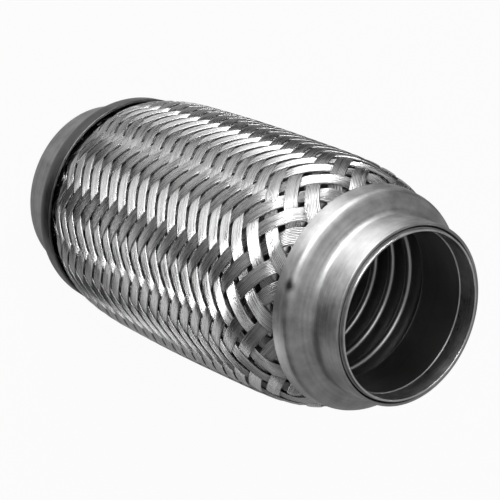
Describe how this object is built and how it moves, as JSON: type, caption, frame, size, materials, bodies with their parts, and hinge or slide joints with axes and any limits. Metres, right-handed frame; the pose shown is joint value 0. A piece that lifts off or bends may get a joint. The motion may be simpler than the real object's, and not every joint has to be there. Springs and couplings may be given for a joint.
{
  "type": "exhaust flex pipe",
  "caption": "Flexible exhaust pipe: a corrugated tube inside a woven wire braid, with a stepped collar and a short inner ring at each end.",
  "frame": {"origin": "centre of the rear end, in the plane of the rear inner ring's end face, on which the pipe stands", "axes": "+Z along the pipe's axis, from the rear end to the front end"},
  "size_m": [0.0782, 0.0782, 0.156],
  "materials": {
    "bellows_steel": "rolled stainless sheet, fairly bright",
    "braid_wire": "bright drawn stainless wire in flat strands",
    "collar_steel": "drawn stainless sheet with fine lines round it",
    "ring_steel": "rolled stainless strip, bright at its edge"
  },
  "bodies": {
    "root": {"bellows": "bellows_steel", "outer_braid": "braid_wire", "front_collar": "collar_steel", "rear_collar": "collar_steel", "front_inner_ring": "ring_steel", "rear_inner_ring": "ring_steel"}
  },
  "joints": []
}
